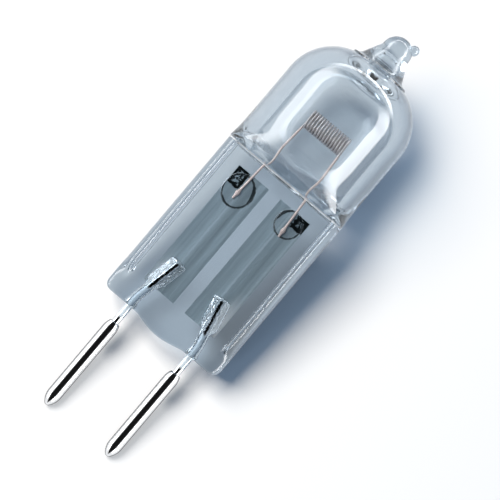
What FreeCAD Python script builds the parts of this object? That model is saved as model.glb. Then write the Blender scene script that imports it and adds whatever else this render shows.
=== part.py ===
import FreeCAD, Part
import math
import os
import Sketcher

# Halogen capsule lamp for a two pin base, drawn upright and laid down at the end.
# While it is drawn, x runs across the pins, y from front to back and z from the pins
# to the exhaust tip, with z zero at the lower edge of the flat glass seal.

V = FreeCAD.Vector
doc = FreeCAD.newDocument("halogen_capsule")
sheet = doc.addObject("Spreadsheet::Sheet", "Sizes")

SIZES = [
    # contact pins
    ("pin_spacing", 6.35),
    ("pin_diameter", 1.25),
    ("pin_length", 8.55),
    ("nose_length", 1.1),
    ("nose_flat", 0.28),
    ("shoulder_length", 0.6),
    ("shoulder_diameter", 0.9),
    ("pin_bore_depth", 2.0),
    # lead wires
    ("lead_diameter", 0.64),
    ("lead_neck", 1.75),
    ("lead_bend_height", 0.9),
    ("lead_bend_radius", 3.0),
    ("lead_top", 5.0),
    ("lead_top_spacing", 4.6),
    # sealing foils
    ("foil_width", 3.1),
    ("foil_thickness", 0.04),
    ("foil_bottom", 2.4),
    ("foil_top", 14.25),
    ("foil_spacing", 4.28),
    # flat glass seal
    ("pinch_width", 11.6),
    ("pinch_height", 15.6),
    ("web_thickness", 2.6),
    ("rim_thickness", 3.6),
    ("rim_width", 0.95),
    ("rim_round", 0.42),
    ("rim_bottom", 1.5),
    ("bottom_sag", 0.42),
    ("sag_width", 4.6),
    ("corner_radius", 0.6),
    ("funnel_diameter", 1.5),
    ("funnel_height", 0.9),
    # bulb
    ("bulb_diameter", 11.4),
    ("belly_radius", 3.8),
    ("dome_radius", 4.4),
    ("dome_top", 27.3),
    ("wall", 1.4),
    ("crown_wall", 1.55),
    ("inner_dome_radius", 3.0),
    ("floor_height", 16.2),
    ("floor_width", 8.3),
    ("floor_depth", 1.7),
    # exhaust tip
    ("tip_height", 3.15),
    ("tip_base_diameter", 4.1),
    ("tip_neck_diameter", 2.55),
    ("tip_neck_height", 1.75),
    ("tip_flare_radius", 0.6),
    ("tip_sink", 0.9),
    ("tip_lean", 1.5),
    ("exhaust_bore", 1.9),
    ("exhaust_bore_top", 28.6),
    ("bead_diameter", 0.86),
    ("bead_offset", 1.02),
    ("bead_height", 2.88),
    # filament
    ("wire_diameter", 0.2),
    ("coil_diameter", 1.75),
    ("coil_turns", 14.5),
    ("coil_pitch", 0.256),
    ("coil_height", 20.65),
    ("leg_spacing", 4.8),
    ("leg_bottom", 11.9),
    ("leg_bend_height", 0.5),
    ("leg_bend_radius", 1.6),
    ("leg_straight", 0.9),
    # gaps in the seal
    ("seat_gap", 0.01),
    ("lead_gap", 0.13),
    ("leg_gap", 0.05),
    ("pocket_width", 2.5),
    ("pocket_height", 2.9),
    ("pocket_depth", 0.36),
    ("pocket_centre", 12.9),
]
for row, (alias, value) in enumerate(SIZES, start=1):
    sheet.set(f"A{row}", alias)
    sheet.set(f"B{row}", str(value))
    sheet.setAlias(f"B{row}", alias)
doc.recompute()


def size(alias):
    return float(getattr(sheet, alias))


def formula(text):
    """A formula of aliases, with each alias pointed at the sheet."""
    out, word = "", ""
    for char in text + " ":
        if char.isalnum() or char == "_":
            word += char
            continue
        out += f"Sizes.{word}" if word in ALIASES else word
        out, word = out + char, ""
    return out.strip()


ALIASES = {alias for alias, _ in SIZES}


def bind(thing, prop, text):
    thing.setExpression(prop, formula(text))


def number(text):
    return float(sheet.evalExpression(formula(text)))


def new_body(name):
    body = doc.addObject("PartDesign::Body", name)
    body.Label = name
    return body


def new_sketch(body, name, role, offset=None):
    """A sketch on one of the body's own origin planes, with an optional bound offset."""
    sketch = body.newObject("Sketcher::SketchObject", name)
    base = [f for f in body.Origin.OriginFeatures if f.Role == role][0]
    sketch.AttachmentSupport = [(base, "")]
    sketch.MapMode = "FlatFace"
    if offset:
        bind(sketch, "AttachmentOffset.Base.z", offset)
    return sketch


def arc_between(p, q, radius, turn):
    """The arc from p to q that turns left (1) or right (-1), drawn counter-clockwise."""
    half = (q - p) * 0.5
    rise = math.sqrt(max(radius**2 - half.Length**2, 0.0))
    side = V(-half.y, half.x, 0).normalize() * turn
    centre = p + half + side * rise
    first, last = (p, q) if turn > 0 else (q, p)
    start = math.atan2(first.y - centre.y, first.x - centre.x)
    end = math.atan2(last.y - centre.y, last.x - centre.x)
    if end < start:
        end += 2 * math.pi
    return Part.ArcOfCircle(Part.Circle(centre, V(0, 0, 1), radius), start, end)


def draw(sketch, path):
    """A closed outline. Each corner is (x, y) or (x, y, turn, radius), the last two for
    an arc that starts there, and every corner and radius is a formula of sheet aliases."""
    count = len(path)
    points = [V(number(c[0]), number(c[1]), 0) for c in path]
    ends = []
    for i, corner in enumerate(path):
        p, q = points[i], points[(i + 1) % count]
        if len(corner) == 4:
            geo = sketch.addGeometry(arc_between(p, q, number(corner[3]), corner[2]), False)
            ends.append((geo, 1, 2) if corner[2] > 0 else (geo, 2, 1))
        else:
            geo = sketch.addGeometry(Part.LineSegment(p, q), False)
            ends.append((geo, 1, 2))
    for i, corner in enumerate(path):
        geo, first, last = ends[i]
        after, after_first, _ = ends[(i + 1) % count]
        sketch.addConstraint(Sketcher.Constraint("Coincident", geo, last, after, after_first))
        for kind, axis, text in (("DistanceX", -2, corner[0]), ("DistanceY", -1, corner[1])):
            if text == "0":
                sketch.addConstraint(Sketcher.Constraint("PointOnObject", geo, first, axis))
                continue
            rule = Sketcher.Constraint(kind, -1, 1, geo, first, number(text))
            index = sketch.addConstraint(rule)
            name = f"corner_{i}_{'xy'[kind == 'DistanceY']}"
            sketch.renameConstraint(index, name)
            bind(sketch, f"Constraints.{name}", text)
        if len(corner) == 4:
            index = sketch.addConstraint(Sketcher.Constraint("Radius", geo, number(corner[3])))
            sketch.renameConstraint(index, f"radius_{i}")
            bind(sketch, f"Constraints.radius_{i}", corner[3])


def turned(name, path):
    """A body turned about the lamp's axis."""
    body = new_body(name)
    sketch = new_sketch(body, name + "_profile", "XZ_Plane")
    draw(sketch, path)
    spin = body.newObject("PartDesign::Revolution", name + "_turn")
    spin.Profile = sketch
    spin.ReferenceAxis = (sketch, ["V_Axis"])
    spin.Angle = 360
    sketch.Visibility = False
    return body


def fuse(name, pieces):
    out = doc.addObject("Part::MultiFuse", name)
    out.Shapes = pieces
    out.Refine = False
    return out


# Contact pins: a bullet nose, a plain shank and a tapered shoulder with a blind bore
# that takes the lead wire.
NOSE_STEP = "(pin_diameter - nose_flat) / 2"
NOSE_RADIUS = f"(({NOSE_STEP})^2 + nose_length^2) / (2 * {NOSE_STEP})"
PIN_TIP = "-(lead_neck + pin_length)"


def contact_pin(name, side):
    bore = "lead_diameter / 2 + seat_gap"
    bottom = "-(lead_neck + pin_bore_depth)"
    body = turned(
        name,
        [
            ("0", PIN_TIP),
            ("nose_flat / 2", PIN_TIP, 1, NOSE_RADIUS),
            ("pin_diameter / 2", f"{PIN_TIP} + nose_length"),
            ("pin_diameter / 2", "-lead_neck - shoulder_length"),
            ("shoulder_diameter / 2", "-lead_neck"),
            (bore, "-lead_neck"),
            (bore, bottom),
            ("0", bottom),
        ],
    )
    body.Placement = FreeCAD.Placement(V(side * size("pin_spacing") / 2, 0, 0), FreeCAD.Rotation())
    return body


# Lead wires: straight out of the pin, one gentle bend just inside the glass, then
# leaning inwards over the foil.
def bent_wire(name, side, diameter, bottom, top):
    body = new_body(name)
    spine = new_sketch(body, name + "_spine", "XZ_Plane")
    x_low, x_top = number("pin_spacing / 2"), number("lead_top_spacing / 2")
    z_low, z_bend, z_top = number(bottom), size("lead_bend_height"), number("lead_top")
    lean = math.atan2(x_low - x_top, z_top - z_bend)
    radius = size("lead_bend_radius")
    reach = radius * math.tan(lean / 2)
    low, knee = V(x_low, z_low, 0), V(x_low, z_bend - reach, 0)
    knee_end = V(x_low - reach * math.sin(lean), z_bend + reach * math.cos(lean), 0)
    stop = V(x_top, z_top, 0) + (V(x_top, z_top, 0) - knee_end).normalize() * number(top)
    spine.addGeometry(Part.LineSegment(low, knee), False)
    spine.addGeometry(arc_between(knee, knee_end, radius, 1), False)
    spine.addGeometry(Part.LineSegment(knee_end, stop), False)
    for rule in (("Vertical", 0), ("Tangent", 0, 2, 1, 1), ("Tangent", 1, 2, 2, 1)):
        spine.addConstraint(Sketcher.Constraint(*rule))
    aim = spine.addGeometry(Part.Point(V(x_top, z_top, 0)), True)
    corner = spine.addGeometry(Part.Point(V(x_low, z_bend, 0)), True)
    spine.addConstraint(Sketcher.Constraint("PointOnObject", corner, 1, 0))
    spine.addConstraint(Sketcher.Constraint("PointOnObject", corner, 1, 2))
    driven = [
        ("foot_x", ("DistanceX", -1, 1, 0, 1), "pin_spacing / 2"),
        ("foot_z", ("DistanceY", -1, 1, 0, 1), bottom),
        ("bend", ("Radius", 1), "lead_bend_radius"),
        ("bend_z", ("DistanceY", -1, 1, corner, 1), "lead_bend_height"),
        ("aim_x", ("DistanceX", -1, 1, aim, 1), "lead_top_spacing / 2"),
        ("aim_z", ("DistanceY", -1, 1, aim, 1), "lead_top"),
    ]
    if number(top) > 0:
        spine.addConstraint(Sketcher.Constraint("PointOnObject", aim, 1, 2))
        driven.append(("past", ("Distance", aim, 1, 2, 2), top))
    else:
        spine.addConstraint(Sketcher.Constraint("Coincident", aim, 1, 2, 2))
    for label, rule, text in driven:
        index = spine.addConstraint(Sketcher.Constraint(*rule, number(text)))
        spine.renameConstraint(index, label)
        bind(spine, f"Constraints.{label}", text)
    ring = new_sketch(body, name + "_ring", "XY_Plane", bottom)
    ring.addGeometry(Part.Circle(V(x_low, 0, 0), V(0, 0, 1), number(diameter) / 2), False)
    ring.addConstraint(Sketcher.Constraint("PointOnObject", 0, 3, -1))
    for label, rule, text in (
        ("centre", ("DistanceX", -1, 1, 0, 3), "pin_spacing / 2"),
        ("ring", ("Radius", 0), f"({diameter}) / 2"),
    ):
        index = ring.addConstraint(Sketcher.Constraint(*rule, number(text)))
        ring.renameConstraint(index, label)
        bind(ring, f"Constraints.{label}", text)
    doc.recompute()
    pipe = body.newObject("PartDesign::AdditivePipe", name + "_pipe")
    pipe.Profile = ring
    pipe.Spine = spine
    if side < 0:
        body.Placement = FreeCAD.Placement(V(), FreeCAD.Rotation(V(0, 0, 1), 180))
    return body


LEAD_FOOT = "-(lead_neck + pin_bore_depth)"


# Sealing foils: thin flat strips that lie just behind the lead wires.
def strip(name, side):
    box = doc.addObject("Part::Box", name)
    bind(box, "Length", "foil_width")
    bind(box, "Width", "foil_thickness")
    bind(box, "Height", "foil_top - foil_bottom")
    x_mid = side * size("foil_spacing") / 2
    front = size("lead_diameter") / 2 + size("seat_gap")
    box.Placement.Base = V(x_mid - size("foil_width") / 2, front, size("foil_bottom"))
    return box


# Filament: one wire with a close wound coil and two legs that run down on to the foils.
def rounded(points, radius):
    """Edges of a run through the points, with each inner corner rounded."""
    edges, here = [], points[0]
    for before, at, after in zip(points, points[1:], points[2:]):
        u, w = (at - before).normalize(), (after - at).normalize()
        turn = u.getAngle(w)
        reach = radius * math.tan(turn / 2)
        start, end = at - u * reach, at + w * reach
        inward = (w - u).normalize()
        middle = at + inward * (radius / math.cos(turn / 2) - radius)
        edges += [Part.makeLine(here, start), Part.Arc(start, middle, end).toShape()]
        here = end
    return edges + [Part.makeLine(here, points[-1])]


def coil_turns(mean, pitch, turns, height):
    """Half turns wound towards +x from the back of the lamp, each a tilted half circle.
    Neighbours share a tangent, so the wire runs on without a kink."""
    rise = math.hypot(mean, pitch / 4)
    start, out = -pitch * turns / 2, []
    for i in range(round(2 * turns)):
        up = 1 if i % 2 == 0 else -1
        x = start + i * pitch / 2
        first, last = V(x, up * mean, height), V(x + pitch / 2, -up * mean, height)
        top = V(x + pitch / 4, 0, height + up * rise)
        out.append(Part.Arc(first, top, last).toShape())
    return out


def filament_wire():
    gauge = size("wire_diameter") / 2
    mean = size("coil_diameter") / 2 - gauge
    pitch, turns, height = size("coil_pitch"), size("coil_turns"), size("coil_height")
    y_leg = size("lead_diameter") / 2 - gauge
    x_leg, z_in = size("leg_spacing") / 2, size("floor_height") + size("leg_bend_height")
    runs = []
    for side in (-1, 1):
        end = V(side * pitch * turns / 2, -side * mean, height)
        knee = end - V(0, 0, size("leg_straight"))
        seat, foot = V(side * x_leg, y_leg, z_in), V(side * x_leg, y_leg, size("leg_bottom"))
        runs.append(rounded([foot, seat, knee, end], size("leg_bend_radius")))
    edges = runs[0] + coil_turns(mean, pitch, turns, height) + runs[1]
    path = Part.Wire(Part.__sortEdges__(edges))
    ring = Part.makeCircle(gauge, V(-x_leg, y_leg, size("leg_bottom")), V(0, 0, 1))
    return path, Part.Wire(ring)


def swept(path, ring):
    return path.makePipeShell([ring], True, False)


# Glass: head, tip and flat seal are one piece of fused quartz.
def head():
    straight = "pinch_height + belly_radius"
    radius = "bulb_diameter / 2"
    return turned(
        "bulb_head",
        [
            ("0", straight),
            (radius, straight),
            (radius, "dome_top - dome_radius", 1, "dome_radius"),
            (f"{radius} - dome_radius", "dome_top"),
            ("0", "dome_top"),
        ],
    )


def exhaust_tip():
    neck, base = "tip_neck_diameter / 2", "tip_base_diameter / 2"
    crown = f"(({neck})^2 + (tip_height - tip_neck_height)^2) / (2 * (tip_height - tip_neck_height))"
    body = turned(
        "exhaust_tip",
        [
            ("0", "-tip_sink"),
            (f"{base} + tip_flare_radius / 2", "-tip_sink"),
            (f"{base} + tip_flare_radius / 2", "-tip_flare_radius / 4", -1, "tip_flare_radius"),
            (base, "tip_flare_radius / 3"),
            (neck, "tip_neck_height", 1, crown),
            ("0", "tip_height"),
        ],
    )
    lean = FreeCAD.Rotation(V(0, 1, 0), size("tip_lean"))
    body.Placement = FreeCAD.Placement(V(0, 0, size("dome_top")), lean)
    bead = doc.addObject("Part::Sphere", "tip_bead")
    bind(bead, "Radius", "bead_diameter / 2")
    bead.Placement.Base = body.Placement.multVec(V(size("bead_offset"), 0, size("bead_height")))
    return [body, bead]


BELLY_ANGLES = (0, 14, 28, 42, 56, 68, 80, 90)


def belly(name, top, drop, wide_top, wide_low, deep_top, deep_low):
    """The bulb drawn down from a circle to the flat oval over the seal."""
    rings = []
    for angle in BELLY_ANGLES:
        oval = doc.addObject("Part::Ellipse", f"{name}_ring_{angle}")
        swing, fall = f"cos({angle} deg)", f"sin({angle} deg)"
        bind(oval, "MajorRadius", f"{wide_low} + ({wide_top} - ({wide_low})) * {swing}")
        if angle == 0:
            bind(oval, "MinorRadius", wide_top)
        else:
            bind(oval, "MinorRadius", f"{deep_low} + ({deep_top} - ({deep_low})) * {swing}")
        bind(oval, "Placement.Base.z", f"{top} - ({drop}) * {fall}")
        rings.append(oval)
    loft = doc.addObject("Part::Loft", name)
    loft.Sections = rings
    loft.Solid = True
    return loft


def seal_plate():
    half, top = "pinch_width / 2", "pinch_height + rim_thickness / 6"
    sag = "((sag_width / 2)^2 + bottom_sag^2) / (2 * bottom_sag)"
    body = new_body("seal_plate")
    sketch = new_sketch(body, "seal_plate_outline", "XZ_Plane")
    draw(
        sketch,
        [
            ("-sag_width / 2", "0", 1, sag),
            ("sag_width / 2", "0"),
            (f"{half} - corner_radius", "0", 1, "corner_radius"),
            (half, "corner_radius"),
            (half, top),
            (f"-{half}", top),
            (f"-{half}", "corner_radius", 1, "corner_radius"),
            (f"-{half} + corner_radius", "0"),
        ],
    )
    pad = body.newObject("PartDesign::Pad", "seal_plate_pad")
    pad.Profile = sketch
    bind(pad, "Length", "web_thickness")
    pad.Midplane = True
    return body


def rim(name, side):
    """A thickened edge of the seal, with a sloped foot and a round upper end."""
    half, web = "rim_thickness / 2", "web_thickness / 2"
    body = new_body(name)
    inner = "pinch_width / 2 - rim_width"
    sketch = new_sketch(body, name + "_outline", "YZ_Plane", inner if side > 0 else f"-({inner})")
    slope = f"rim_bottom + 2 * ({half} - {web})"
    draw(
        sketch,
        [
            (f"-{web}", "rim_bottom"),
            (web, "rim_bottom"),
            (half, slope),
            (half, "pinch_height", 1, half),
            ("0", f"pinch_height + {half}", 1, half),
            (f"-{half}", "pinch_height"),
            (f"-{half}", slope),
        ],
    )
    pad = body.newObject("PartDesign::Pad", name + "_pad")
    pad.Profile = sketch
    bind(pad, "Length", "rim_width")
    pad.Reversed = side < 0
    doc.recompute()
    edge_x = side * size("pinch_width") / 2
    names = [
        f"Edge{i}"
        for i, edge in enumerate(pad.Shape.Edges, start=1)
        if all(abs(v.X - edge_x) < 1e-6 for v in edge.Vertexes)
    ]
    soft = body.newObject("PartDesign::Fillet", name + "_soft")
    soft.Base = (pad, names)
    bind(soft, "Radius", "rim_round")
    return body


def gas_space():
    """The hollow of the bulb, with the blind end of the exhaust bore above it."""
    straight, radius = "pinch_height + belly_radius", "bulb_diameter / 2 - wall"
    top, bore = "dome_top - crown_wall", "exhaust_bore / 2"
    # The crown keeps a narrow flat round the bore
    shoulder = f"min(inner_dome_radius; {radius} - {bore} - wall / 4)"
    upper = turned(
        "gas_head",
        [
            ("0", straight),
            (radius, straight),
            (radius, f"{top} - {shoulder}", 1, shoulder),
            (f"{radius} - {shoulder}", top),
            (bore, top),
            (bore, f"exhaust_bore_top - {bore}", 1, bore),
            ("0", "exhaust_bore_top"),
        ],
    )
    lower = belly(
        "gas_belly", straight, f"{straight} - floor_height", radius, "floor_width / 2", radius, "floor_depth / 2"
    )
    return [upper, lower]


def seal_gaps():
    """Room in the seal for the leads, the legs and their welds, and the foils."""
    out = []
    front = size("lead_diameter") / 2 + size("seat_gap")
    for side, word in ((-1, "left"), (1, "right")):
        wide = "lead_diameter + 2 * lead_gap"
        out.append(bent_wire(f"lead_way_{word}", side, wide, "-2 * bottom_sag", "lead_gap"))
        cone = doc.addObject("Part::Cone", f"funnel_{word}")
        bind(cone, "Radius1", "funnel_diameter / 2")
        bind(cone, "Radius2", "lead_diameter / 2 + lead_gap / 2")
        bind(cone, "Height", "funnel_height")
        cone.Placement.Base = V(side * size("pin_spacing") / 2, 0, -size("bottom_sag") / 2)
        way = doc.addObject("Part::Cylinder", f"leg_way_{word}")
        bind(way, "Radius", "wire_diameter / 2 + leg_gap")
        bind(way, "Height", "floor_height + floor_depth / 2 - leg_bottom + leg_gap")
        x_leg, y_leg = side * size("leg_spacing") / 2, size("lead_diameter") / 2 - size("wire_diameter") / 2
        way.Placement.Base = V(x_leg, y_leg, size("leg_bottom") - size("leg_gap"))
        pocket = doc.addObject("Part::Ellipsoid", f"weld_pocket_{word}")
        bind(pocket, "Radius1", "pocket_depth / 2")
        bind(pocket, "Radius2", "pocket_width / 2")
        bind(pocket, "Radius3", "pocket_height / 2")
        pocket.Placement = FreeCAD.Placement(
            V(x_leg, front, size("pocket_centre")), FreeCAD.Rotation(V(1, 0, 0), 90)
        )
        out += [cone, way, pocket, strip(f"foil_slot_{word}", side)]
    return out


straight = "pinch_height + belly_radius"
outside = fuse(
    "glass_outside",
    [
        head(),
        belly(
            "belly", straight, "belly_radius", "bulb_diameter / 2", "pinch_width / 2",
            "bulb_diameter / 2", "bulb_diameter / 2 - belly_radius",
        ),
        seal_plate(),
        rim("rim_left", -1),
        rim("rim_right", 1),
    ]
    + exhaust_tip(),
)
inside = fuse("glass_inside", gas_space() + seal_gaps())
glass = doc.addObject("Part::Cut", "glass_envelope")
glass.Base = outside
glass.Tool = inside

filament = doc.addObject("Part::Feature", "filament")
filament.Shape = swept(*filament_wire())

subparts = {
    "glass_envelope": glass,
    "filament": filament,
    "foil_left": strip("foil_left", -1),
    "foil_right": strip("foil_right", 1),
    "lead_wire_left": bent_wire("lead_wire_left", -1, "lead_diameter", LEAD_FOOT, "0"),
    "lead_wire_right": bent_wire("lead_wire_right", 1, "lead_diameter", LEAD_FOOT, "0"),
    "contact_pin_left": contact_pin("contact_pin_left", -1),
    "contact_pin_right": contact_pin("contact_pin_right", 1),
}
doc.recompute()


# The lamp rests on the round of its belly and on the noses of its two pins, so the
# floor is the common tangent of those two arcs, and the front of the seal looks up.
def lying():
    nose, belly_arc = number(NOSE_RADIUS), size("belly_radius")
    nose_z = number(PIN_TIP) + size("nose_length")
    belly_z = size("pinch_height") + belly_arc
    along = belly_z - nose_z
    across = (size("pin_diameter") / 2 - nose) - (size("bulb_diameter") / 2 - belly_arc)
    lean = math.asin((belly_arc - nose) / math.hypot(along, across)) - math.atan2(across, along)
    depth = (size("bulb_diameter") / 2 - belly_arc) * math.cos(lean) - belly_z * math.sin(lean) + belly_arc
    x_to, z_to = V(0, -1, 0), V(math.cos(lean), 0, math.sin(lean))
    y_to = z_to.cross(x_to)
    return FreeCAD.Placement(V(0, 0, depth), FreeCAD.Rotation(x_to, y_to, z_to, "ZXY"))


rest = lying()
for part in subparts.values():
    part.Placement = rest.multiply(part.Placement)
doc.recompute()
spans = [part.Shape.optimalBoundingBox(False, False) for part in subparts.values()]
middle = (min(s.XMin for s in spans) + max(s.XMax for s in spans)) / 2
for part in subparts.values():
    part.Placement = FreeCAD.Placement(V(-middle, 0, 0), FreeCAD.Rotation()).multiply(part.Placement)
doc.recompute()

for thing in doc.Objects:
    bad = [word for word in thing.State if word in ("Invalid", "Error")]
    if bad:
        raise RuntimeError(f"{thing.Name} did not compute: {bad}")
os.makedirs("parts", exist_ok=True)
for name, part in subparts.items():
    shape = part.Shape
    if shape.isNull() or not shape.isValid() or len(shape.Solids) != 1:
        raise RuntimeError(f"{name} is not one valid solid")
    part.Label = name
    shape.exportStep(f"parts/{name}.step")
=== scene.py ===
import math

import bmesh
import bpy
import numpy as np
from mathutils import Matrix, Vector


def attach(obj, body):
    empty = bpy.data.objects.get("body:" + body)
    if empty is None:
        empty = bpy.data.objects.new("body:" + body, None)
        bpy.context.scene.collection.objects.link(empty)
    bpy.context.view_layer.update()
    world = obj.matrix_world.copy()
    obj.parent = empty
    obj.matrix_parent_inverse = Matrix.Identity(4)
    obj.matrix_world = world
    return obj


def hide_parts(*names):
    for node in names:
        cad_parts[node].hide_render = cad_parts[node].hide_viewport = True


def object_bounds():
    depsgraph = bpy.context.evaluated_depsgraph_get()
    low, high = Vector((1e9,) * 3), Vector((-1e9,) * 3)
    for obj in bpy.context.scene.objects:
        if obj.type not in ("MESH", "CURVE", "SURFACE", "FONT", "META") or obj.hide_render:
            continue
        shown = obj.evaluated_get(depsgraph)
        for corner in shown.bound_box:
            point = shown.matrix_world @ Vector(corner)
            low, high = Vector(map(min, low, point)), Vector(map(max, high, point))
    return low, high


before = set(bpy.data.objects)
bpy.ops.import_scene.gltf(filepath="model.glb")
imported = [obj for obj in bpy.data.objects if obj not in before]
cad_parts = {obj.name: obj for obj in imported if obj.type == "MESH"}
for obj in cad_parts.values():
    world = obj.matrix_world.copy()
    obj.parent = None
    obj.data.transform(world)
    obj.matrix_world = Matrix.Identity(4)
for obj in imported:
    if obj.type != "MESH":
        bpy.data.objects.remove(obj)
cad_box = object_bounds()

# Sizes in millimetres, as in the part's source. The lamp's own frame has x across the pins,
# y from the front face of the seal to its back, and z from the pins to the exhaust tip,
# with z = 0 at the seal's lower edge.
MM = 0.001
PIN_X = 3.175
PIN_R = 0.625
PIN_TIP = -10.3
PIN_TOP = -1.75
NOSE = 1.1
NOSE_END_R = 0.14
LEAD_R = 0.32
LEAD_FOOT = -3.75
LEAD_BEND = 0.9
LEAD_BEND_R = 3.0
LEAD_TOP = 5.0
LEAD_TOP_X = 2.3
FOIL_X = 2.14
FOIL_W = 3.1
FOIL_LOW = 2.4
FOIL_HIGH = 14.25
FOIL_Y = 0.33
FOIL_T = 0.04
PINCH_W = 5.8
PINCH_H = 15.6
PINCH_POWER = 6.5
WEB = 1.3
RIM = 1.8
RIM_W = 0.95
RIM_RISE = (1.2, 3.0)
SAG = 0.42
SAG_REACH = 2.5
CORNER_R = 0.7
EDGE_R = 0.34
JAW_R = 0.3
BULB_R = 5.7
BELLY = 3.8
DOME_R = 4.4
DOME_TOP = 27.3
WALL = 1.4
CROWN = 1.55
INNER_R = 3.0
FLOOR_Z = 16.2
FLOOR_A = 4.15
FLOOR_B = 0.85
BORE_R = 0.95
BORE_STRAIGHT = 27.4
BORE_END = 27.65
WIRE_R = 0.1
COIL_R = 0.775
COIL_TURNS = 14.5
COIL_PITCH = 0.256
COIL_Z = 20.65
LEG_X = 2.4
LEG_Y = LEAD_R - WIRE_R
LEG_LOW = 11.9
TIP_HEAD_R = 1.28
TIP_HEAD_Z = 29.17
TIP_LEAN = math.radians(1.5)
CONE_IN = 0.76
CONE_UP = 1.5
BEAD_R = 0.43
BEAD_X = 1.095
BEAD_Z = 30.15
WAY_R = 0.45
FUNNEL = 0.32
FUNNEL_FADE = (0.75, -0.25)
WAY_LOW = -1.0
WAY_PAST = 0.1
POCKET_DEPTH = 0.17

# Profiles: a radius, and a height over the dome's top, over the crown of the hollow, over
# the pin's tip or under the pin's top
TIP_FLARE = ((2.6, -0.06), (2.4, -0.02), (2.26, 0.04), (2.15, 0.12), (2.05, 0.2))
BORE_FLARE = ((1.28, 0.02), (1.12, 0.09), (1.02, 0.22), (0.97, 0.42), (BORE_R, 0.8))
NOSE_CAP = ((0.03, -0.01), (0.08, -0.006), (0.115, 0.006))
SHANK_END = 0.68
SHOULDER = ((0.615, 0.55), (0.585, 0.4), (0.53, 0.2), (0.475, 0.04))
PIN_MOUTH = ((0.43, 0.0), (0.335, 0.0), (0.33, 0.03), (0.33, 0.25))

# Forms that only the scene has: the crest of the rims and the strip with closer points, where
# the sides of a lead's way slope, the weld spot on a leg (swelling, height over its end,
# length), and the milky line where the edge of the press stopped, its whiteness a painted highlight
CREST = 0.64
CLOSE_STRIP = 1.1
FAN_FROM = 2.2
FAN_RISE = 0.8
FAN_BACK = (-0.3, 0.3)
SPOT = (0.11, 0.55, 0.2)
JAW_GLINT_LINE = (PINCH_H - 0.11, PINCH_H - 0.005)
# Oval marks round the welds of legs and foils: half width, half height, middle x and z
WELD_MARKS = ((1.37, 1.5, -2.42, 12.6), (1.18, 1.25, 2.37, 13.1))

# Points on a quarter of a glass section, and the angle in degrees over which an edge is sharp
QUARTER = 72
SHARP = 50.0
GLASS_SHARP = 42.0


# How the lamp lies
def nose_radius():
    """Radius of the arc that makes a pin's nose."""
    step = PIN_R - NOSE_END_R
    return (step**2 + NOSE**2) / (2 * step)


def lying():
    """The lamp lies on its belly and on both pin noses, as in the source: the floor is the
    common tangent of those arcs. The blunt ends of the noses lie where the frame's box starts."""
    nose, belly_z = nose_radius(), PINCH_H + BELLY
    along = belly_z - (PIN_TIP + NOSE)
    across = (PIN_R - nose) - (BULB_R - BELLY)
    lean = math.asin((BELLY - nose) / math.hypot(along, across)) - math.atan2(across, along)
    lean_c, lean_s = math.cos(lean), math.sin(lean)
    depth = (BULB_R - BELLY) * lean_c - belly_z * lean_s + BELLY
    nose_end = PIN_TIP * lean_c - NOSE_END_R * lean_s
    return Matrix((
        (0.0, lean_s, lean_c, cad_box[0][0] - nose_end * MM),
        (-1.0, 0.0, 0.0, 0.0),
        (0.0, -lean_c, lean_s, depth * MM),
        (0.0, 0.0, 0.0, 1.0),
    ))


LAMP = lying()


# Mesh helpers
def smooth(a, b, x):
    """0 at a, 1 at b and soft between."""
    t = np.clip((np.asarray(x, float) - a) / (b - a), 0.0, 1.0)
    return t * t * (3 - 2 * t)


def new_object(name, verts, faces):
    """A smooth shaded object from points in the lamp's frame, in millimetres."""
    mesh = bpy.data.meshes.new(name)
    mesh.from_pydata([tuple(v) for v in np.asarray(verts) * MM], [], faces)
    mesh.validate()
    obj = bpy.data.objects.new(name, mesh)
    bpy.context.scene.collection.objects.link(obj)
    obj.matrix_world = LAMP
    shade_smooth(obj, SHARP)
    return obj


def shade_smooth(obj, sharp):
    mesh = obj.data
    mesh.polygons.foreach_set("use_smooth", [True] * len(mesh.polygons))
    mesh.set_sharp_from_angle(angle=math.radians(sharp))
    mesh.update()


def skin(rings, close_low=True):
    """Quads over a stack of closed rings, with a fan of triangles over the last ring and, if
    asked for, over the first. A first ring that is folded flat needs none."""
    rings = np.asarray(rings)
    m, n, _ = rings.shape
    verts = rings.reshape(-1, 3).tolist()
    faces = []
    for i in range(m - 1):
        for j in range(n):
            k = (j + 1) % n
            faces.append((i * n + j, i * n + k, (i + 1) * n + k, (i + 1) * n + j))
    if close_low:
        verts.append(rings[0].mean(axis=0).tolist())
        faces += [(len(verts) - 1, (j + 1) % n, j) for j in range(n)]
    verts.append(rings[-1].mean(axis=0).tolist())
    top = (m - 1) * n
    faces += [(len(verts) - 1, top + j, top + (j + 1) % n) for j in range(n)]
    return np.array(verts), faces


def weld(obj, distance=1e-7):
    """Joins points that lie on each other and turns all faces outwards."""
    bm = bmesh.new()
    bm.from_mesh(obj.data)
    bmesh.ops.remove_doubles(bm, verts=bm.verts, dist=distance)
    bmesh.ops.dissolve_degenerate(bm, edges=bm.edges, dist=distance)
    bmesh.ops.recalc_face_normals(bm, faces=bm.faces)
    bm.to_mesh(obj.data)
    bm.free()


def flip(obj):
    """Turns all faces inwards."""
    bm = bmesh.new()
    bm.from_mesh(obj.data)
    bmesh.ops.reverse_faces(bm, faces=bm.faces)
    bm.to_mesh(obj.data)
    bm.free()


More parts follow.
